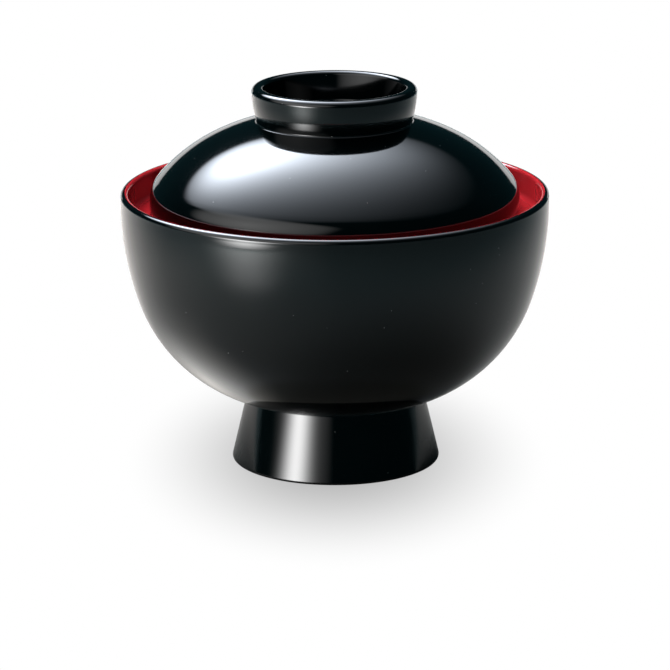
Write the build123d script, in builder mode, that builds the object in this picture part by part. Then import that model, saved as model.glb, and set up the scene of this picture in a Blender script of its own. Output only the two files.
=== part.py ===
"""Lidded lacquer soup bowl on a high foot.

Two bodies are turned from wood: the bowl with its foot ring, and the lid with its ring-shaped knob.
Each wooden core wears a black lacquer coat outside and a red one inside.
Millimetres, Z up, origin at the centre of the foot's base.
"""
import os
from math import cos, radians, sin, sqrt, tan

from build123d import *

# Lacquer
COAT = 0.4              # thickness of every lacquer coat, with its ground layers

# Bowl, outside
RIM_R = 64.0            # outer radius at the rim
FOOT_H = 19.9           # height of the waist, where the foot meets the body
BODY_H = 63.0           # height of the body, from the waist to the rim
FOOT_R = 31.5           # outer radius at the base of the foot
WAIST_R = 26.8          # outer radius at the waist
WAIST_FILLET = 0.8
BELLY_ANGLE = 15.3      # slope of the body where it leaves the waist, in degrees
BELLY_INSET = 4.9       # the belly curve hands over to the wall curve this far inside the rim
BELLY_RISE = 30.3       # and this far above the waist

# Foot ring, inside
FOOT_WALL = 3.4
FOOT_EDGE = 0.7         # rounding at both edges of the land
RECESS_H = 16.5         # height of the hollow under the bowl
RECESS_FILLET = 2.5

# Rim
RIM_T = 2.4             # wall at the rim
LIP_H = 1.9             # height of the straight lip, outside
LIP_OUT_EDGE = 1.25     # outer rounding, black
LIP_IN_EDGE = 1.1       # inner rounding, red
RED_LIP = 1.1           # width of red that shows on the rim

# Bowl, inside
SEAT_DEPTH = 7.9        # the lid's seat lies this far under the rim
SEAT_COVE = 1.5         # rounding from the rim's inner wall to the seat
SEAT_EDGE = 1.5         # rounding from the seat down into the basin
BASE_T = 7.5            # wood between the foot's hollow and the basin floor
BASIN_CROWN_R = 80.0    # radius of the basin floor
BASIN_CORNER_R = 30.0   # radius from the floor up to the wall

# Lid
LID_GAP = 6.35          # open ring between the rim's inner wall and the lid
SEAT_CLEARANCE = 0.05   # from the lid's base to the seat
LID_T = 2.8             # wall of the lid
SKIRT_H = 6.1           # straight skirt, from the base up to the shoulder
SKIRT_OUT_EDGE = 0.8
SKIRT_IN_EDGE = 0.5
SHOULDER_RISE = 5.2     # from the top of the skirt to the end of the crown curve
SHOULDER_INSET = 1.92
CROWN_RISE = 17.8       # from the top of the skirt to the start of the crown curve
CROWN_INSET = 2.275     # and in to that start from midway between knob and skirt
CREASE_RISE = 22.622    # from the top of the skirt to the crease round the knob
CROWN_SLOPE = 14.2      # slope of the lid at that crease, in degrees
CROWN_START = 1.5       # width of the lid beside the crease that keeps this slope

# Knob, the ring on top of the lid
KNOB_H = 10.7
KNOB_TOP_R = 24.8
KNOB_BASE_R = 23.3
KNOB_WALL = 3.6
KNOB_BULGE = 0.3        # the knob's side stands out this far halfway up
KNOB_SIDE_R = 25.0      # rounding of that bulge
KNOB_OUT_EDGE = 1.6
KNOB_IN_EDGE = 1.2
KNOB_DEPTH = 9.5        # depth of the hollow in the knob
KNOB_FLOOR_FILLET = 1.5
KNOB_CREASE = 0.5       # fillet where the knob meets the lid
CEILING_T = 3.2         # wood between the knob's hollow and the inside of the lid

# Levels and radii that follow from the sizes above
BOWL_H = FOOT_H + BODY_H
RIM_IN_R = RIM_R - RIM_T
SEAT_Z = BOWL_H - SEAT_DEPTH
FLOOR_Z = RECESS_H + BASE_T
LID_R = RIM_IN_R - LID_GAP
LID_IN_R = LID_R - LID_T
BASIN_R = LID_IN_R - SEAT_EDGE
LID_BASE_Z = SEAT_Z + SEAT_CLEARANCE
SKIRT_Z = LID_BASE_Z + SKIRT_H
CROWN_R = (KNOB_BASE_R + LID_R) / 2 - CROWN_INSET
CROWN_Z = SKIRT_Z + CROWN_RISE
CREASE_Z = SKIRT_Z + CREASE_RISE
KNOB_Z = CREASE_Z + KNOB_H
KNOB_FLOOR_Z = KNOB_Z - KNOB_DEPTH
CEILING_Z = KNOB_FLOOR_Z - CEILING_T
BIG = 3 * (RIM_R + KNOB_Z)
lip_out = min(LIP_OUT_EDGE, 0.53 * RIM_T)
lip_in = min(LIP_IN_EDGE, 0.46 * RIM_T)
knob_out = min(KNOB_OUT_EDGE, 0.45 * KNOB_WALL)
knob_in = min(KNOB_IN_EDGE, 0.4 * KNOB_WALL)


def polar(angle):
    """Unit direction at an angle above the horizontal, in degrees."""
    return Vector(cos(radians(angle)), sin(radians(angle)))


def inward(curve, end):
    """Point of the lid's inner face under one end of an outer curve that runs outwards and down."""
    along = curve % end
    return curve @ end + LID_T * Vector(along.Y, -along.X)


# Basin wall: a floor arc, a corner arc and a straight wall up to the seat, all tangent
corner_r = BASIN_R - BASIN_CORNER_R
corner_z = FLOOR_Z + BASIN_CROWN_R - sqrt((BASIN_CROWN_R - BASIN_CORNER_R) ** 2 - corner_r ** 2)
crown_centre = Vector(0, FLOOR_Z + BASIN_CROWN_R)
floor_end = crown_centre + (Vector(corner_r, corner_z) - crown_centre).normalized() * BASIN_CROWN_R

# Half section of the finished bowl, lacquer and all
with BuildSketch() as bowl_section:
    with BuildLine():
        foot = FilletPolyline(
            (0, RECESS_H), (WAIST_R - FOOT_WALL, RECESS_H), (FOOT_R - FOOT_WALL, 0), (FOOT_R, 0),
            (WAIST_R, FOOT_H), radius=(RECESS_FILLET, FOOT_EDGE, FOOT_EDGE))
        belly = TangentArc(
            foot @ 1, (RIM_R - BELLY_INSET, FOOT_H + BELLY_RISE), tangent=polar(BELLY_ANGLE))
        wall = TangentArc(belly @ 1, (RIM_R, BOWL_H - LIP_H), tangent=belly % 1)
        lip = FilletPolyline(
            wall @ 1, (RIM_R, BOWL_H), (RIM_IN_R, BOWL_H), (RIM_IN_R, SEAT_Z + SEAT_COVE),
            radius=(lip_out, lip_in))
        cove_foot = (RIM_IN_R - SEAT_COVE, SEAT_Z)
        TangentArc(cove_foot, lip @ 1, tangent=(1, 0))
        seat = FilletPolyline(
            cove_foot, (BASIN_R, SEAT_Z), (BASIN_R, corner_z), radius=SEAT_EDGE)
        floor = TangentArc((0, FLOOR_Z), floor_end, tangent=(1, 0))
        TangentArc(floor @ 1, seat @ 1, tangent=floor % 1)
        Line((0, FLOOR_Z), (0, RECESS_H))
    make_face()
    fillet(bowl_section.vertices().sort_by_distance((WAIST_R, FOOT_H))[0], WAIST_FILLET)

# Half section of the open space in the bowl, run up past the rim
with BuildSketch() as bowl_hollow:
    with BuildLine():
        cove = TangentArc(cove_foot, lip @ 1, tangent=(1, 0))
        seat = FilletPolyline(
            cove_foot, (BASIN_R, SEAT_Z), (BASIN_R, corner_z), radius=SEAT_EDGE)
        floor = TangentArc((0, FLOOR_Z), floor_end, tangent=(1, 0))
        TangentArc(floor @ 1, seat @ 1, tangent=floor % 1)
        Polyline(cove @ 1, (RIM_IN_R, BIG), (0, BIG), (0, FLOOR_Z))
    make_face()

# Lid round the knob: the bulge of the knob's side, and the end of the slope beside the crease
knob_side = ((KNOB_BASE_R + KNOB_TOP_R) / 2 + KNOB_BULGE, (CREASE_Z + KNOB_Z) / 2)
crown_start = (KNOB_BASE_R + CROWN_START, CREASE_Z - CROWN_START * tan(radians(CROWN_SLOPE)))

# Half section of the finished lid
with BuildSketch() as lid_section:
    with BuildLine():
        knob = FilletPolyline(
            (0, KNOB_FLOOR_Z), (KNOB_BASE_R - KNOB_WALL, KNOB_FLOOR_Z), (KNOB_TOP_R - KNOB_WALL, KNOB_Z),
            (KNOB_TOP_R, KNOB_Z), knob_side, (KNOB_BASE_R, CREASE_Z), crown_start,
            radius=(KNOB_FLOOR_FILLET, knob_in, knob_out, KNOB_SIDE_R, KNOB_CREASE))
        dome = TangentArc(knob @ 1, (CROWN_R, CROWN_Z), tangent=knob % 1)
        crown = TangentArc(
            dome @ 1, (LID_R - SHOULDER_INSET, SKIRT_Z + SHOULDER_RISE), tangent=dome % 1)
        shoulder = TangentArc(crown @ 1, (LID_R, SKIRT_Z), tangent=crown % 1)
        skirt = FilletPolyline(
            shoulder @ 1, (LID_R, LID_BASE_Z), (LID_IN_R, LID_BASE_Z), (LID_IN_R, SKIRT_Z),
            radius=(SKIRT_OUT_EDGE, SKIRT_IN_EDGE))
        ceiling = TangentArc((0, CEILING_Z), inward(crown, 0), tangent=(1, 0))
        under_crown = TangentArc(ceiling @ 1, inward(crown, 1), tangent=ceiling % 1)
        TangentArc(under_crown @ 1, skirt @ 1, tangent=under_crown % 1)
        Line((0, CEILING_Z), (0, KNOB_FLOOR_Z))
    make_face()

# Half section of the open space under the lid, run down past its base
with BuildSketch() as lid_hollow:
    with BuildLine():
        ceiling = TangentArc((0, CEILING_Z), inward(crown, 0), tangent=(1, 0))
        under_crown = TangentArc(ceiling @ 1, inward(crown, 1), tangent=ceiling % 1)
        side = TangentArc(under_crown @ 1, skirt @ 1, tangent=under_crown % 1)
        Polyline(side @ 1, (LID_IN_R, -BIG), (0, -BIG), (0, CEILING_Z))
    make_face()


def core_of(section):
    """Half section of the wood: the finished section less one coat all round."""
    with BuildSketch() as whole:
        add(section.sketch)
        mirror(about=Plane.YZ)
        offset(amount=-COAT)
        Rectangle(BIG, 2 * BIG, align=(Align.MIN, Align.CENTER), mode=Mode.INTERSECT)
    return whole.sketch


# The land under the foot is bare wood, so the bowl stands on its core
with BuildSketch() as bowl_wood:
    add(core_of(bowl_section))
    with Locations((FOOT_R - FOOT_WALL / 2, 0)):
        Rectangle(FOOT_WALL - 2 * FOOT_EDGE, 2 * COAT, align=(Align.CENTER, Align.MIN))
    add(bowl_section.sketch, mode=Mode.INTERSECT)

with BuildSketch() as bowl_lacquer:
    add(bowl_section.sketch)
    add(bowl_wood.sketch, mode=Mode.SUBTRACT)

with BuildSketch() as bowl_red_side:
    add(bowl_hollow.sketch)
    offset(amount=RED_LIP)

with BuildSketch() as bowl_black:
    add(bowl_lacquer.sketch)
    add(bowl_red_side.sketch, mode=Mode.SUBTRACT)

with BuildSketch() as lid_lacquer:
    add(lid_section.sketch)
    add(core_of(lid_section), mode=Mode.SUBTRACT)

with BuildSketch() as lid_red_side:
    add(lid_hollow.sketch)
    offset(amount=LID_T / 2)

# Bowl and foot ring: one piece of turned wood
with BuildPart() as bowl_core:
    with BuildSketch(Plane.XZ):
        add(bowl_wood.sketch)
    revolve(axis=Axis.Z)

# Black lacquer on the outside, from the foot's land up over the rim
with BuildPart() as bowl_black_coat:
    with BuildSketch(Plane.XZ):
        add(bowl_black.faces().sort_by(Axis.X)[-1])
    revolve(axis=Axis.Z)

# Black lacquer in the hollow of the foot
with BuildPart() as foot_recess_coat:
    with BuildSketch(Plane.XZ):
        add(bowl_black.faces().sort_by(Axis.X)[0])
    revolve(axis=Axis.Z)

# Red lacquer on the inside, from the basin over the lid's seat to the rim
with BuildPart() as bowl_red_coat:
    with BuildSketch(Plane.XZ):
        add(bowl_lacquer.sketch)
        add(bowl_red_side.sketch, mode=Mode.INTERSECT)
    revolve(axis=Axis.Z)

# Lid and its ring knob: one piece of turned wood
with BuildPart() as lid_core:
    with BuildSketch(Plane.XZ):
        add(core_of(lid_section))
    revolve(axis=Axis.Z)

# Black lacquer over the knob, the crown and the skirt
with BuildPart() as lid_black_coat:
    with BuildSketch(Plane.XZ):
        add(lid_lacquer.sketch)
        add(lid_red_side.sketch, mode=Mode.SUBTRACT)
    revolve(axis=Axis.Z)

# Red lacquer on the underside of the lid
with BuildPart() as lid_red_coat:
    with BuildSketch(Plane.XZ):
        add(lid_lacquer.sketch)
        add(lid_red_side.sketch, mode=Mode.INTERSECT)
    revolve(axis=Axis.Z)

pieces = {
    "bowl_core": bowl_core,
    "bowl_black_coat": bowl_black_coat,
    "foot_recess_coat": foot_recess_coat,
    "bowl_red_coat": bowl_red_coat,
    "lid_core": lid_core,
    "lid_black_coat": lid_black_coat,
    "lid_red_coat": lid_red_coat,
}

os.makedirs("parts", exist_ok=True)
for name, piece in pieces.items():
    piece.part.label = name
    export_step(piece.part, f"parts/{name}.step")
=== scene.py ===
"""Lidded lacquer soup bowl: lacquer coats, bare wood under the foot, a pale floor and soft studio light."""
import math

import bpy
from mathutils import Matrix, Vector


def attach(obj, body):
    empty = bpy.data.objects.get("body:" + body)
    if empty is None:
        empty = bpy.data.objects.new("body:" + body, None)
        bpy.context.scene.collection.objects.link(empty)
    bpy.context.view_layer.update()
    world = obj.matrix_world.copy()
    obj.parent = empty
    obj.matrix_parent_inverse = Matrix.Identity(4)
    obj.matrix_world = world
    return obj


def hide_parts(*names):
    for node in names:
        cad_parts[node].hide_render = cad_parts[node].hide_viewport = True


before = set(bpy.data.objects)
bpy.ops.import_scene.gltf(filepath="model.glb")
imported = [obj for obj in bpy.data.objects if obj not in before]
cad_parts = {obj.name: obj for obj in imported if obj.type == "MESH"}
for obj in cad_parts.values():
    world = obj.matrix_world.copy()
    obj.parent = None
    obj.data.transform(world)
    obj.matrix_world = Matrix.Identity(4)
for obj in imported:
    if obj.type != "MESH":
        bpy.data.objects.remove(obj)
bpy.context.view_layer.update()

# Wooden cores: bowl with foot ring, and lid with ring knob, each turned from one block of hardwood.
# Lacquer hides them but for the land under the foot, which is left bare where the bowl stands.
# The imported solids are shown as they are, with turned grain that runs across the block.
WOOD_DARK = (0.13, 0.065, 0.030, 1)
WOOD_PALE = (0.36, 0.215, 0.115, 1)
WOOD_ROUGHNESS = (0.52, 0.78)
WOOD_BUMP, WOOD_BUMP_DEPTH = 0.25, 0.0001
GRAIN_SCALE, GRAIN_WANDER, GRAIN_DETAIL = 13.0, 5.0, 3.0
PORES_PER_M, PORE_DETAIL, PORE_SHARE = 2600, 4.0, 0.35


def link(tree, output, target):
    """Joins one node's output to another node's input."""
    tree.links.new(output, target)


def new_material(name):
    """A material with its Principled shader and output alone."""
    material = bpy.data.materials.new(name)
    material.use_nodes = True
    tree = material.node_tree
    return material, tree, tree.nodes["Principled BSDF"]


def ramp(tree, source, low, high, low_at=0.0, high_at=1.0):
    """A colour ramp between two colours, driven by a value that changes over the surface."""
    node = tree.nodes.new("ShaderNodeValToRGB")
    node.color_ramp.elements[0].position = low_at
    node.color_ramp.elements[0].color = low
    node.color_ramp.elements[1].position = high_at
    node.color_ramp.elements[1].color = high
    link(tree, source, node.inputs["Fac"])
    return node.outputs["Color"]


def spread(tree, source, low, high):
    """A value that changes over the surface, stretched from 0 and 1 to low and high."""
    node = tree.nodes.new("ShaderNodeMapRange")
    node.inputs["To Min"].default_value = low
    node.inputs["To Max"].default_value = high
    link(tree, source, node.inputs["Value"])
    return node.outputs["Result"]


turned_wood, tree, shader = new_material("turned_wood")
place = tree.nodes.new("ShaderNodeTexCoord").outputs["Object"]
rings = tree.nodes.new("ShaderNodeTexWave")
rings.bands_direction = "X"
rings.inputs["Scale"].default_value = GRAIN_SCALE
rings.inputs["Distortion"].default_value = GRAIN_WANDER
rings.inputs["Detail"].default_value = GRAIN_DETAIL
link(tree, place, rings.inputs["Vector"])
pores = tree.nodes.new("ShaderNodeTexNoise")
pores.inputs["Scale"].default_value = PORES_PER_M
pores.inputs["Detail"].default_value = PORE_DETAIL
link(tree, place, pores.inputs["Vector"])
grain = tree.nodes.new("ShaderNodeMix")
grain.inputs["Factor"].default_value = PORE_SHARE
link(tree, rings.outputs["Fac"], grain.inputs["A"])
link(tree, pores.outputs["Fac"], grain.inputs["B"])
link(tree, ramp(tree, grain.outputs["Result"], WOOD_DARK, WOOD_PALE), shader.inputs["Base Color"])
link(tree, spread(tree, pores.outputs["Fac"], *WOOD_ROUGHNESS), shader.inputs["Roughness"])
wood_bump = tree.nodes.new("ShaderNodeBump")
wood_bump.inputs["Strength"].default_value = WOOD_BUMP
wood_bump.inputs["Distance"].default_value = WOOD_BUMP_DEPTH
link(tree, grain.outputs["Result"], wood_bump.inputs["Height"])
link(tree, wood_bump.outputs["Normal"], shader.inputs["Normal"])
for core in ("bowl_core", "lid_core"):
    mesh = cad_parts[core].data
    mesh.materials.clear()
    mesh.materials.append(turned_wood)

# Black lacquer on the bowl's outside: many thin brushed coats over the turned wood, ground and polished.
# It starts at the edge of the foot's land, runs up foot and belly and over the rim to the red edge.
# A half section of straight cuts, roundings and arcs is turned about the axis, as on a lathe.
MM = 0.001
COAT = 0.4
RIM_R, RIM_Z, RIM_T = 64.0, 82.9, 2.4
WAIST_R, WAIST_Z = 26.8, 19.9
FOOT_R, FOOT_WALL, FOOT_EDGE = 31.5, 3.4, 0.7
BELLY_SLOPE = math.radians(15.3)
BELLY_END = (59.1, 50.2)
LIP_Z = 81.0
LIP_OUT_EDGE, LIP_IN_EDGE = 1.25, 1.1
RED_LIP = 1.1
RED_EDGE_R = RIM_R - RIM_T + RED_LIP
LATHE_STEPS = 256
ARC_STEPS_MIN = 4
STEP_ANGLE = math.radians(7)
STEP_LENGTH = 1.4
END_STEP = 0.08
TOUCHING = 1e-6
MERGE_M = 1e-6
SHARP_ANGLE = math.radians(32)
BLACK = (0.0001, 0.0004, 0.0005, 1)
BLACK_CLOUD = (0.0005, 0.0012, 0.0013, 1)
DUST_COLOUR = (0.42, 0.42, 0.40, 1)
LACQUER_IOR = 1.5
CLOUDS_PER_M, CLOUD_DETAIL, CLOUD_FROM, CLOUD_TO = 38, 3.0, 0.35, 0.75
RIPPLES_PER_M, RIPPLE_DETAIL, RIPPLE_HEIGHT = 55, 1.0, 0.00002
SPECKS_PER_M, SPECK_SIZE = 210, 0.027
NUMBER, VECTOR = "ShaderNodeMath", "ShaderNodeVectorMath"


class HalfSection:
    """Half section in millimetres, as (radius, height) points, drawn from cut to cut as on a lathe."""

    def __init__(self, start):
        self.points = [Vector(start)]

    def cut(self, end):
        """Straight cut, with points close to both ends so that the shine stays flat along it."""
        start, end = self.points[-1], Vector(end)
        length = (end - start).length
        inset = min(END_STEP, length / 3)
        count = max(1, math.ceil((length - 2 * inset) / STEP_LENGTH))
        stops = [inset + (length - 2 * inset) * i / count for i in range(count + 1)]
        self.points += [start.lerp(end, stop / length) for stop in stops] + [end]
        return self

    def sweep(self, end, heading=None):
        """Arc that leaves the last point along a heading, or along the last cut, and stops at end."""
        start, end = self.points[-1], Vector(end)
        along = Vector(heading if heading else start - self.points[-2]).normalized()
        side = Vector((-along.y, along.x))
        chord = end - start
        radius = chord.length_squared / (2 * chord.dot(side))
        centre = start + side * radius
        turn = 2 * math.atan2(chord.dot(side), chord.dot(along))
        by_angle = math.ceil(abs(turn) / STEP_ANGLE)
        by_length = math.ceil(abs(turn * radius) / STEP_LENGTH)
        count = max(ARC_STEPS_MIN, by_angle, by_length)
        arm = start - centre
        for i in range(1, count + 1):
            angle = turn * i / count
            c, s = math.cos(angle), math.sin(angle)
            self.points.append(centre + Vector((arm.x * c - arm.y * s, arm.x * s + arm.y * c)))
        return self

    def heading(self):
        """Direction in which the last arc leaves its last point."""
        a, b, c = self.points[-3:]
        last = c - b
        back = math.atan2((b - a).y, (b - a).x)
        turn = math.atan2(last.y, last.x) - back
        turn = math.atan2(math.sin(turn), math.cos(turn)) / 2
        return Vector((last.x * math.cos(turn) - last.y * math.sin(turn),
                       last.x * math.sin(turn) + last.y * math.cos(turn)))

    def rounded(self, corner, towards, radius):
        """Straight cut to a corner that is rounded, on the way to another point."""
        corner, towards = Vector(corner), Vector(towards)
        back = (self.points[-1] - corner).normalized()
        ahead = (towards - corner).normalized()
        reach = radius / math.tan(back.angle(ahead) / 2)
        if (self.points[-1] - corner).length > reach + TOUCHING:
            self.cut(corner + back * reach)
        return self.sweep(corner + ahead * reach, -back)

    def coat(self):
        """The same section with the lacquer's thickness: back along the wood under it, and closed."""
        under = []
        for i, point in enumerate(self.points):
            before = self.points[max(i - 1, 0)]
            after = self.points[min(i + 1, len(self.points) - 1)]
            along = (after - before).normalized()
            under.append(point + COAT * Vector((-along.y, along.x)))
        on_axis = [p.x < TOUCHING for p in (self.points[0], self.points[-1])]
        for end, flag in zip((0, -1), on_axis):
            if flag:
                under[end].x = 0
        if on_axis[1]:
            return under[::-1] + self.points
        loop = self.points + under[::-1]
        return loop if on_axis[0] else loop + loop[:1]


def arithmetic(tree, kind, operation, *values):
    """A node of arithmetic, on outputs or plain values."""
    node = tree.nodes.new(kind)
    node.operation = operation
    for socket, value in zip(node.inputs, values):
        if isinstance(value, bpy.types.NodeSocket):
            link(tree, value, socket)
        else:
            socket.default_value = value
    gives_number = kind == NUMBER or operation in ("LENGTH", "DISTANCE")
    return node.outputs["Value" if gives_number else "Vector"]


lathe = bpy.data.node_groups.new("lathe", "GeometryNodeTree")
for label, kind in (("Half section", "NodeSocketGeometry"), ("Steps round", "NodeSocketInt"),
                    ("Sharp angle", "NodeSocketFloat"), ("Lacquer", "NodeSocketMaterial")):
    lathe.interface.new_socket(label, in_out="INPUT", socket_type=kind)
lathe.interface.new_socket("Turned piece", in_out="OUTPUT", socket_type="NodeSocketGeometry")


def lathe_node(kind, **settings):
    """A node of the lathe, with its settings."""
    node = lathe.nodes.new(kind)
    for key, value in settings.items():
        setattr(node, key, value)
    return node


def lathe_sum(operation, *values):
    """A step of arithmetic in the lathe."""
    return arithmetic(lathe, NUMBER, operation, *values)


given = lathe_node("NodeGroupInput").outputs
section_size = lathe_node("GeometryNodeAttributeDomainSize")
link(lathe, given["Half section"], section_size.inputs["Geometry"])
columns = lathe_sum("ADD", given["Steps round"], 1)
sheet = lathe_node("GeometryNodeMeshGrid")
link(lathe, section_size.outputs["Point Count"], sheet.inputs["Vertices X"])
link(lathe, columns, sheet.inputs["Vertices Y"])
index = lathe_node("GeometryNodeInputIndex").outputs["Index"]
section_point = lathe_node("GeometryNodeSampleIndex", data_type="FLOAT_VECTOR", domain="POINT")
link(lathe, given["Half section"], section_point.inputs["Geometry"])
link(lathe, lathe_node("GeometryNodeInputPosition").outputs["Position"], section_point.inputs["Value"])
link(lathe, lathe_sum("FLOOR", lathe_sum("DIVIDE", index, columns)), section_point.inputs["Index"])
reach = lathe_node("ShaderNodeSeparateXYZ")
link(lathe, section_point.outputs["Value"], reach.inputs["Vector"])
turn = lathe_sum("DIVIDE", lathe_sum("MODULO", index, columns), given["Steps round"])
angle = lathe_sum("MULTIPLY", turn, 2 * math.pi)
turned = lathe_node("ShaderNodeCombineXYZ")
link(lathe, lathe_sum("MULTIPLY", reach.outputs["X"], lathe_sum("COSINE", angle)), turned.inputs["X"])
link(lathe, lathe_sum("MULTIPLY", reach.outputs["X"], lathe_sum("SINE", angle)), turned.inputs["Y"])
link(lathe, reach.outputs["Z"], turned.inputs["Z"])
placed = lathe_node("GeometryNodeSetPosition")
link(lathe, sheet.outputs["Mesh"], placed.inputs["Geometry"])
link(lathe, turned.outputs["Vector"], placed.inputs["Position"])
closed = lathe_node("GeometryNodeMergeByDistance")
closed.inputs["Distance"].default_value = MERGE_M
link(lathe, placed.outputs["Geometry"], closed.inputs["Geometry"])
outward = lathe_node("GeometryNodeFlipFaces")
link(lathe, closed.outputs["Geometry"], outward.inputs["Mesh"])
smooth = lathe_node("GeometryNodeSetShadeSmooth", domain="FACE")
link(lathe, outward.outputs["Mesh"], smooth.inputs["Geometry"])
bend = lathe_node("GeometryNodeInputMeshEdgeAngle").outputs["Unsigned Angle"]
edged = lathe_node("GeometryNodeSetShadeSmooth", domain="EDGE")
edged.inputs["Shade Smooth"].default_value = False
link(lathe, smooth.outputs["Geometry"], edged.inputs["Geometry"])
link(lathe, lathe_sum("GREATER_THAN", bend, given["Sharp angle"]), edged.inputs["Selection"])
real = lathe_node("GeometryNodeRealizeInstances")
link(lathe, edged.outputs["Geometry"], real.inputs["Geometry"])
lacquered = lathe_node("GeometryNodeSetMaterial")
link(lathe, real.outputs["Geometry"], lacquered.inputs["Geometry"])
link(lathe, given["Lacquer"], lacquered.inputs["Material"])
link(lathe, lacquered.outputs["Geometry"], lathe_node("NodeGroupOutput").inputs["Turned piece"])


def turned_coat(name, section, material, body, node):
    """Turns a coat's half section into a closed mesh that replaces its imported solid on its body."""
    points = [(p.x * MM, 0, p.y * MM) for p in section.coat()]
    outline = bpy.data.meshes.new(name)
    outline.from_pydata(points, [(i, i + 1) for i in range(len(points) - 1)], [])
    piece = bpy.data.objects.new(name, outline)
    bpy.context.scene.collection.objects.link(piece)
    turning = piece.modifiers.new("turning", "NODES")
    turning.node_group = lathe
    values = {"Steps round": LATHE_STEPS, "Sharp angle": SHARP_ANGLE, "Lacquer": material}
    for item in lathe.interface.items_tree:
        if item.in_out == "INPUT" and item.name in values:
            turning[item.identifier] = values[item.name]
    graph = bpy.context.evaluated_depsgraph_get()
    mesh = bpy.data.meshes.new_from_object(piece.evaluated_get(graph), depsgraph=graph)
    piece.modifiers.remove(turning)
    piece.data = mesh
    bpy.data.meshes.remove(outline)
    mesh.name = name
    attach(piece, body)
    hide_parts(node)


polish = bpy.data.node_groups.new("polished_lacquer", "ShaderNodeTree")
polish.interface.new_socket("Place", in_out="INPUT", socket_type="NodeSocketVector")
polish.interface.new_socket("Dust", in_out="INPUT", socket_type="NodeSocketFloat")
for label in ("Cloud", "Specks", "Ripple"):
    polish.interface.new_socket(label, in_out="OUTPUT", socket_type="NodeSocketFloat")
enter = polish.nodes.new("NodeGroupInput").outputs
leave = polish.nodes.new("NodeGroupOutput").inputs
for label, scale, detail in (("Cloud", CLOUDS_PER_M, CLOUD_DETAIL),
                             ("Ripple", RIPPLES_PER_M, RIPPLE_DETAIL)):
    noise = polish.nodes.new("ShaderNodeTexNoise")
    noise.inputs["Scale"].default_value = scale
    noise.inputs["Detail"].default_value = detail
    link(polish, enter["Place"], noise.inputs["Vector"])
    link(polish, noise.outputs["Fac"], leave[label])
cells = polish.nodes.new("ShaderNodeTexVoronoi")
cells.inputs["Scale"].default_value = SPECKS_PER_M
link(polish, enter["Place"], cells.inputs["Vector"])
near = arithmetic(polish, NUMBER, "LESS_THAN", cells.outputs["Distance"], SPECK_SIZE)
link(polish, arithmetic(polish, NUMBER, "MULTIPLY", near, enter["Dust"]), leave["Specks"])


def lacquer(name, deep, cloud, dust, roughness):
    """Polished lacquer: deep colour with faint clouds, near-mirror shine, slight ripple, stray dust."""
    material, tree, shader = new_material(name)
    surface = tree.nodes.new("ShaderNodeGroup")
    surface.node_tree = polish
    surface.inputs["Dust"].default_value = dust
    link(tree, tree.nodes.new("ShaderNodeTexCoord").outputs["Object"], surface.inputs["Place"])
    dusty = tree.nodes.new("ShaderNodeMix")
    dusty.data_type = "RGBA"
    colour_a, colour_b = [s for s in dusty.inputs if s.type == "RGBA"]
    colour_b.default_value = DUST_COLOUR
    link(tree, surface.outputs["Specks"], dusty.inputs["Factor"])
    link(tree, ramp(tree, surface.outputs["Cloud"], deep, cloud, CLOUD_FROM, CLOUD_TO), colour_a)
    link(tree, [s for s in dusty.outputs if s.type == "RGBA"][0], shader.inputs["Base Color"])
    link(tree, spread(tree, surface.outputs["Cloud"], *roughness), shader.inputs["Roughness"])
    uneven = tree.nodes.new("ShaderNodeBump")
    uneven.inputs["Strength"].default_value = 1.0
    uneven.inputs["Distance"].default_value = RIPPLE_HEIGHT
    link(tree, surface.outputs["Ripple"], uneven.inputs["Height"])
    link(tree, uneven.outputs["Normal"], shader.inputs["Normal"])
    shader.inputs["IOR"].default_value = LACQUER_IOR
    return material


black_lacquer = lacquer("black_lacquer", BLACK, BLACK_CLOUD, dust=0.35, roughness=(0.05, 0.09))
land_out = FOOT_R - FOOT_EDGE / math.tan(math.atan2(WAIST_Z, FOOT_R - WAIST_R) / 2)
outside = HalfSection((land_out, 0))
outside.rounded((FOOT_R, 0), (WAIST_R, WAIST_Z), FOOT_EDGE)
outside.cut((WAIST_R, WAIST_Z))
outside.sweep(BELLY_END, (math.cos(BELLY_SLOPE), math.sin(BELLY_SLOPE)))
outside.sweep((RIM_R, LIP_Z), outside.heading())
outside.rounded((RIM_R, RIM_Z), (RED_EDGE_R, RIM_Z), LIP_OUT_EDGE)
outside.cut((RED_EDGE_R, RIM_Z))
turned_coat("bowl_outside_lacquer", outside, black_lacquer, "bowl", "bowl_black_coat")

# Black lacquer in the hollow of the foot, under the bowl.
# It is the same lacquer, brushed inside the foot ring up to the bare land.
# Turned from its own half section.
RECESS_Z, RECESS_ROUND = 16.5, 2.5
recess = HalfSection((0, RECESS_Z))
recess.rounded((WAIST_R - FOOT_WALL, RECESS_Z), (FOOT_R - FOOT_WALL, 0), RECESS_ROUND)
recess.rounded((FOOT_R - FOOT_WALL, 0), (FOOT_R, 0), FOOT_EDGE)
recess.cut((FOOT_R - FOOT_WALL + FOOT_EDGE, 0))
turned_coat("foot_recess_lacquer", recess, black_lacquer, "bowl", "foot_recess_coat")

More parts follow.
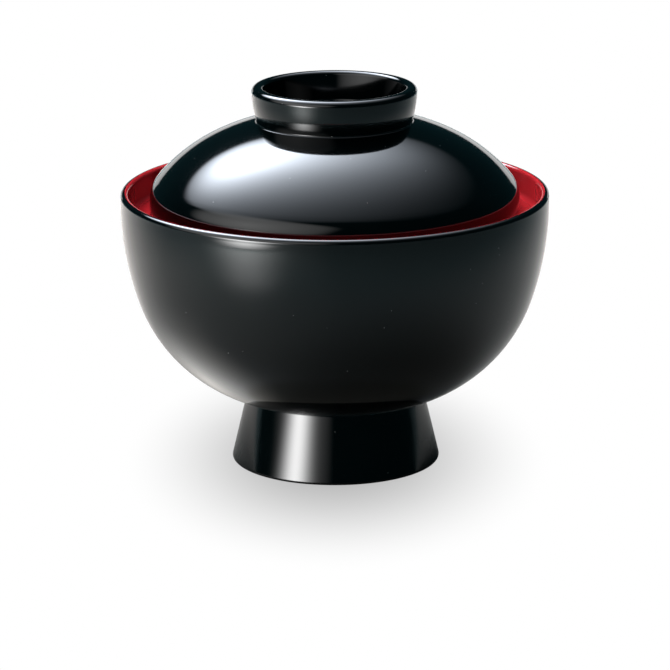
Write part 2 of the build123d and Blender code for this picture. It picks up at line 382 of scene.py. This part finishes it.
# Red lacquer inside the bowl: vermilion pigment in clear lacquer, polished as the outside is.
# It starts on top of the rim, runs down the lip and a small cove to the lid's seat, and lines the basin.
# Turned from its own half section, which meets the black at the rim.
RIM_IN_R = RIM_R - RIM_T
SEAT_Z, SEAT_COVE, SEAT_EDGE = 75.0, 1.5, 1.5
BASIN_R, BASIN_CORNER_R = 50.95, 30.0
FLOOR_Z, FLOOR_CROWN_R = 24.0, 80.0
RED = (0.33, 0.010, 0.014, 1)
RED_CLOUD = (0.40, 0.016, 0.019, 1)
corner_r = BASIN_R - BASIN_CORNER_R
corner_z = FLOOR_Z + FLOOR_CROWN_R - math.sqrt((FLOOR_CROWN_R - BASIN_CORNER_R) ** 2 - corner_r ** 2)
crown_centre = Vector((0, FLOOR_Z + FLOOR_CROWN_R))
floor_end = crown_centre + (Vector((corner_r, corner_z)) - crown_centre).normalized() * FLOOR_CROWN_R
red_lacquer = lacquer("red_lacquer", RED, RED_CLOUD, dust=0.25, roughness=(0.06, 0.11))
inside = HalfSection((RED_EDGE_R, RIM_Z))
inside.sweep((RIM_IN_R, RIM_Z - LIP_IN_EDGE), (-1, 0))
inside.cut((RIM_IN_R, SEAT_Z + SEAT_COVE))
inside.sweep((RIM_IN_R - SEAT_COVE, SEAT_Z), (0, -1))
inside.rounded((BASIN_R, SEAT_Z), (BASIN_R, corner_z), SEAT_EDGE)
inside.cut((BASIN_R, corner_z))
inside.sweep(floor_end, (0, -1))
inside.sweep((0, FLOOR_Z), inside.heading())
turned_coat("bowl_inside_lacquer", inside, red_lacquer, "bowl", "bowl_red_coat")

# Black lacquer on the lid: over the ring knob and its hollow, down crown and shoulder to the skirt.
# It is the same polished lacquer as on the bowl, and its edge meets the red under the skirt.
# One half section from the middle of the knob to the skirt is turned about the axis.
LID_R, LID_T, LID_Z = 55.25, 2.8, 75.05
SKIRT_Z, SKIRT_OUT_EDGE, SKIRT_IN_EDGE = 81.15, 0.8, 0.5
SHOULDER_TOP = (53.33, 86.35)
CROWN_TOP = (37.0, 98.95)
CROWN_SLOPE = math.radians(14.2)
CROWN_START, CROWN_RISE = 1.5, 22.622
KNOB_BASE_R, KNOB_TOP_R, KNOB_WALL = 23.3, 24.8, 3.6
KNOB_HEIGHT, KNOB_HOLLOW = 10.7, 9.5
KNOB_BULGE, KNOB_SIDE_R = 0.3, 25.0
KNOB_OUT_EDGE, KNOB_IN_EDGE, KNOB_FLOOR_ROUND, KNOB_CREASE = 1.6, 1.2, 1.5, 0.5
CREASE_Z = SKIRT_Z + CROWN_RISE
KNOB_Z = CREASE_Z + KNOB_HEIGHT
KNOB_FLOOR_Z = KNOB_Z - KNOB_HOLLOW
knob_side = ((KNOB_BASE_R + KNOB_TOP_R) / 2 + KNOB_BULGE, (CREASE_Z + KNOB_Z) / 2)
crown_start = (KNOB_BASE_R + CROWN_START, CREASE_Z - CROWN_START * math.tan(CROWN_SLOPE))
over = HalfSection((0, KNOB_FLOOR_Z))
over.rounded((KNOB_BASE_R - KNOB_WALL, KNOB_FLOOR_Z), (KNOB_TOP_R - KNOB_WALL, KNOB_Z), KNOB_FLOOR_ROUND)
over.rounded((KNOB_TOP_R - KNOB_WALL, KNOB_Z), (KNOB_TOP_R, KNOB_Z), KNOB_IN_EDGE)
over.rounded((KNOB_TOP_R, KNOB_Z), knob_side, KNOB_OUT_EDGE)
over.rounded(knob_side, (KNOB_BASE_R, CREASE_Z), KNOB_SIDE_R)
over.rounded((KNOB_BASE_R, CREASE_Z), crown_start, KNOB_CREASE)
over.cut(crown_start)
over.sweep(CROWN_TOP)
over.sweep(SHOULDER_TOP, over.heading())
over.sweep((LID_R, SKIRT_Z), over.heading())
over.rounded((LID_R, LID_Z), (LID_R - LID_T, LID_Z), SKIRT_OUT_EDGE)
over.cut((LID_R - LID_T / 2, LID_Z))
over.points.reverse()
turned_coat("lid_outside_lacquer", over, black_lacquer, "lid", "lid_black_coat")

# Red lacquer under the lid, from the middle of the skirt's foot over the hollow of the crown.
# The same vermilion as in the bowl, seen when the lid is lifted or turned over.
# Turned from its own half section, parallel to the crown.
KNOB_FLOOR_T = 3.2
CEILING_Z = KNOB_FLOOR_Z - KNOB_FLOOR_T
dome = HalfSection(crown_start).sweep(CROWN_TOP, (math.cos(CROWN_SLOPE), -math.sin(CROWN_SLOPE)))
dome_slope = dome.heading()
dome_slope.normalize()
under_top = Vector(CROWN_TOP) + LID_T * Vector((dome_slope.y, -dome_slope.x))
shoulder_slope = HalfSection(CROWN_TOP).sweep(SHOULDER_TOP, dome_slope).heading()
shoulder_slope.normalize()
under_shoulder = Vector(SHOULDER_TOP) + LID_T * Vector((shoulder_slope.y, -shoulder_slope.x))
under = HalfSection((0, CEILING_Z))
under.sweep(under_top, (1, 0))
under.sweep(under_shoulder, under.heading())
under.sweep((LID_R - LID_T, SKIRT_Z), under.heading())
under.rounded((LID_R - LID_T, LID_Z), (LID_R, LID_Z), SKIRT_IN_EDGE)
under.cut((LID_R - LID_T / 2, LID_Z))
turned_coat("lid_inside_lacquer", under, red_lacquer, "lid", "lid_red_coat")

# Studio floor: to the camera it is white, with an oval of soft contact shade painted under the bowl.
# In light and shine its colour holds painted light and shade: a painted pool of light behind the bowl,
# painted shade further off and close to the bowl.
# It is stage, not part of the object.
FLOOR_HALF = 6.0
FLOOR_PAINTED_SHADE, FLOOR_PAINTED_LIGHT = (0.12, 0.16, 0.155, 1), (0.515, 0.453, 0.394, 1)
FLOOR_ROUGHNESS, FLOOR_IOR = 0.24, 1.33
PAINTED_LIGHT_AT, PAINTED_LIGHT_R, PAINTED_SHADE_R = (-0.05, 0.30, 0), 0.12, 0.53
NEAR_BOWL_PAINTED_SHADE, NEAR_R, OPEN_R = 0.50, 0.05, 0.24
SHADE_DEEP, SHADE_LENGTHWISE = 0.47, 1.68
SHADE_INNER, SHADE_OUTER = 0.008, 0.066


def stage_sheet(name, corners, material):
    """A flat sheet of the stage."""
    mesh = bpy.data.meshes.new(name)
    mesh.from_pydata(corners, [], [tuple(range(len(corners)))])
    mesh.materials.append(material)
    sheet = bpy.data.objects.new(name, mesh)
    bpy.context.scene.collection.objects.link(sheet)


def ease(tree, source, start, end, low=0.0, high=1.0):
    """A value that eases from low to high while its source goes from start to end."""
    node = tree.nodes.new("ShaderNodeMapRange")
    node.interpolation_type = "SMOOTHSTEP"
    for label, value in (("From Min", start), ("From Max", end), ("To Min", low), ("To Max", high)):
        node.inputs[label].default_value = value
    link(tree, source, node.inputs["Value"])
    return node.outputs["Result"]


def split_view(tree, in_shine, to_camera, target):
    """Shows one shader to the camera and another one in light and shine."""
    rays = tree.nodes.new("ShaderNodeLightPath")
    seen = tree.nodes.new("ShaderNodeMixShader")
    link(tree, rays.outputs["Is Camera Ray"], seen.inputs["Fac"])
    link(tree, in_shine, seen.inputs[1])
    link(tree, to_camera, seen.inputs[2])
    link(tree, seen.outputs["Shader"], target)


floor_white, tree, shader = new_material("floor_white")
shader.inputs["Roughness"].default_value = FLOOR_ROUGHNESS
shader.inputs["IOR"].default_value = FLOOR_IOR
place = tree.nodes.new("ShaderNodeTexCoord").outputs["Object"]
# Painted light: the floor's colour is pale round a spot behind the bowl and fades to a painted shade
# further off.
from_painted_light = arithmetic(tree, VECTOR, "DISTANCE", place, PAINTED_LIGHT_AT)
painted_falloff = ease(tree, from_painted_light, PAINTED_LIGHT_R, PAINTED_SHADE_R)
# Painted shade: the floor's colour darkens close to the bowl, where the bowl's own shade falls.
from_bowl = arithmetic(tree, VECTOR, "LENGTH", place)
painted_bowl_shade = ease(tree, from_bowl, NEAR_R, OPEN_R, low=NEAR_BOWL_PAINTED_SHADE)
painted_floor_light_and_shade = arithmetic(tree, VECTOR, "MULTIPLY", ramp(tree, painted_falloff, FLOOR_PAINTED_LIGHT, FLOOR_PAINTED_SHADE), painted_bowl_shade)
link(tree, painted_floor_light_and_shade, shader.inputs["Base Color"])
oval = arithmetic(tree, VECTOR, "MULTIPLY", place, (1, 1 / SHADE_LENGTHWISE, 0))
shade = ease(tree, arithmetic(tree, VECTOR, "LENGTH", oval), SHADE_INNER, SHADE_OUTER, low=SHADE_DEEP)
glow = tree.nodes.new("ShaderNodeEmission")
link(tree, shade, glow.inputs["Strength"])
split_view(tree, shader.outputs["BSDF"], glow.outputs["Emission"],
           tree.nodes["Material Output"].inputs["Surface"])
stage_sheet("studio_floor", [(x * FLOOR_HALF, y * FLOOR_HALF, 0) for x, y in
                             ((-1, -1), (1, -1), (1, 1), (-1, 1))], floor_white)

# Backdrop and world: white to the camera all round; in the shine a white card shows low behind the bowl,
# and the rest of the room is dark, as a studio is.
CARD_Y, CARD_HALF, CARD_TOP = 1.6, 0.75, 0.22
ROOM_DARK = (0.006, 0.025, 0.03, 1)
WHITE = (1, 1, 1, 1)
card_white, tree, shader = new_material("card_white")
tree.nodes.remove(shader)
card_glow = tree.nodes.new("ShaderNodeEmission")
link(tree, card_glow.outputs["Emission"], tree.nodes["Material Output"].inputs["Surface"])
stage_sheet("backdrop_card", [(-CARD_HALF, CARD_Y, 0), (CARD_HALF, CARD_Y, 0),
                              (CARD_HALF, CARD_Y, CARD_TOP), (-CARD_HALF, CARD_Y, CARD_TOP)], card_white)
world = bpy.data.worlds.new("studio")
bpy.context.scene.world = world
world.use_nodes = True
tree = world.node_tree
background = tree.nodes["Background"]
background.inputs["Color"].default_value = ROOM_DARK
white = tree.nodes.new("ShaderNodeBackground")
white.inputs["Color"].default_value = WHITE
split_view(tree, background.outputs["Background"], white.outputs["Background"],
           tree.nodes["World Output"].inputs["Surface"])

# Lamps: a wide softbox overhead with its hot spot behind and to the left, and a dim panel at the left.
# A low bright strip at the front left, whose mirror image is the stripe on the foot.
# A faint glow on the floor at the left.
LID_MIDDLE = (0, 0, 0.09)
MIDDLE = (0.5, 0.5)
COOL, WARM = (0.92, 1.0, 1.12), (1.05, 1.0, 0.92)
STRIP_AZIMUTH = math.radians(-46)
STRIP_AWAY = 0.36
STRIP_FROM = Vector((0.001, -0.013, 0.0525))


def softbox(name, centre, aim, width, height, hot, hot_at, fade, power, soft,
            tint=(1, 1, 1), lean=0, beam=180):
    """A lamp behind a diffuser: a hot spot that fades, and soft squarish edges. Radiance, white is 1."""
    lamp = bpy.data.lights.new(name, "AREA")
    lamp.shape = "RECTANGLE"
    lamp.color = tint
    lamp.spread = math.radians(beam)
    lamp.size, lamp.size_y = width, height
    lamp.energy = math.pi * width * height
    lamp.use_nodes = True
    tree = lamp.node_tree
    place = tree.nodes.new("ShaderNodeNewGeometry").outputs["Parametric"]
    hot_offset = arithmetic(tree, VECTOR, "SUBTRACT", place, (*hot_at, 0))
    from_hot = arithmetic(tree, VECTOR, "MULTIPLY", hot_offset, (width, height, 0))
    leaning = tree.nodes.new("ShaderNodeVectorRotate")
    leaning.rotation_type = "Z_AXIS"
    leaning.inputs["Angle"].default_value = -math.radians(lean)
    link(tree, from_hot, leaning.inputs["Vector"])
    faded = arithmetic(tree, VECTOR, "MULTIPLY", leaning.outputs["Vector"], (1 / fade[0], 1 / fade[1], 0))
    away = arithmetic(tree, VECTOR, "LENGTH", faded)
    fall = arithmetic(tree, NUMBER, "POWER", math.exp(-1), arithmetic(tree, NUMBER, "POWER", away, power))
    middle_offset = arithmetic(tree, VECTOR, "SUBTRACT", place, (*MIDDLE, 0))
    from_middle = arithmetic(tree, VECTOR, "MULTIPLY", middle_offset, (2, 2, 0))
    squarish = arithmetic(tree, VECTOR, "MULTIPLY", from_middle, from_middle)
    edge = ease(tree, arithmetic(tree, VECTOR, "LENGTH", squarish), (1 - soft) ** 2, 1.0, low=hot, high=0.0)
    strength = arithmetic(tree, NUMBER, "MULTIPLY", fall, edge)
    link(tree, strength, tree.nodes["Emission"].inputs["Strength"])
    box = bpy.data.objects.new(name, lamp)
    bpy.context.scene.collection.objects.link(box)
    box.location = centre
    box.rotation_mode = "QUATERNION"
    box.rotation_quaternion = (Vector(aim) - Vector(centre)).to_track_quat("-Z", "Y")
    box.visible_camera = False


softbox("overhead_softbox", (-0.12, 0.36, 0.99), (-0.12, 0.36, 0.0), 2.72, 2.2, hot=26.0,
        hot_at=(0.371, 0.651), fade=(0.397, 0.477), power=1.465, soft=0.18, tint=COOL, lean=37.6)
softbox("left_panel", (-0.69, -0.565, 0.531), LID_MIDDLE, 2.4, 1.05,
        hot=2.4, hot_at=(0.467, 0.41), fade=(0.8, 0.8), power=1.2, soft=0.4)
strip_out = Vector((math.sin(STRIP_AZIMUTH), -math.cos(STRIP_AZIMUTH), 0))
strip_middle = strip_out * STRIP_AWAY + STRIP_FROM
softbox("low_strip", strip_middle, strip_middle - strip_out, 0.6, 0.105,
        hot=21.0, hot_at=MIDDLE, fade=(0.088, 0.2), power=2.0, soft=0.15)
softbox("floor_glow", (-0.080, 0.012, 0.002), (-0.080, 0.012, 1.0), 0.13, 0.13,
        hot=1.6, hot_at=(0.27, 0.5), fade=(0.033, 0.036), power=1.2, soft=0.6, tint=WARM, beam=140)

# Camera: a long lens from the front, a little above, turned a hair to the right as the picture is.
CAMERA_AT = (-0.0001, -1.11015, 0.34385)
LOOK_DOWN = math.radians(15.414)
ROLL = math.radians(-0.23)
LENS, SENSOR = 205.0, 36.0
camera = bpy.data.cameras.new("camera")
camera.lens, camera.sensor_width = LENS, SENSOR
viewer = bpy.data.objects.new("camera", camera)
bpy.context.scene.collection.objects.link(viewer)
viewer.matrix_world = (Matrix.Translation(CAMERA_AT) @ Matrix.Rotation(math.pi / 2 - LOOK_DOWN, 4, "X")
                       @ Matrix.Rotation(ROLL, 4, "Z"))
bpy.context.scene.camera = viewer
bpy.context.scene.view_settings.view_transform = "Standard"
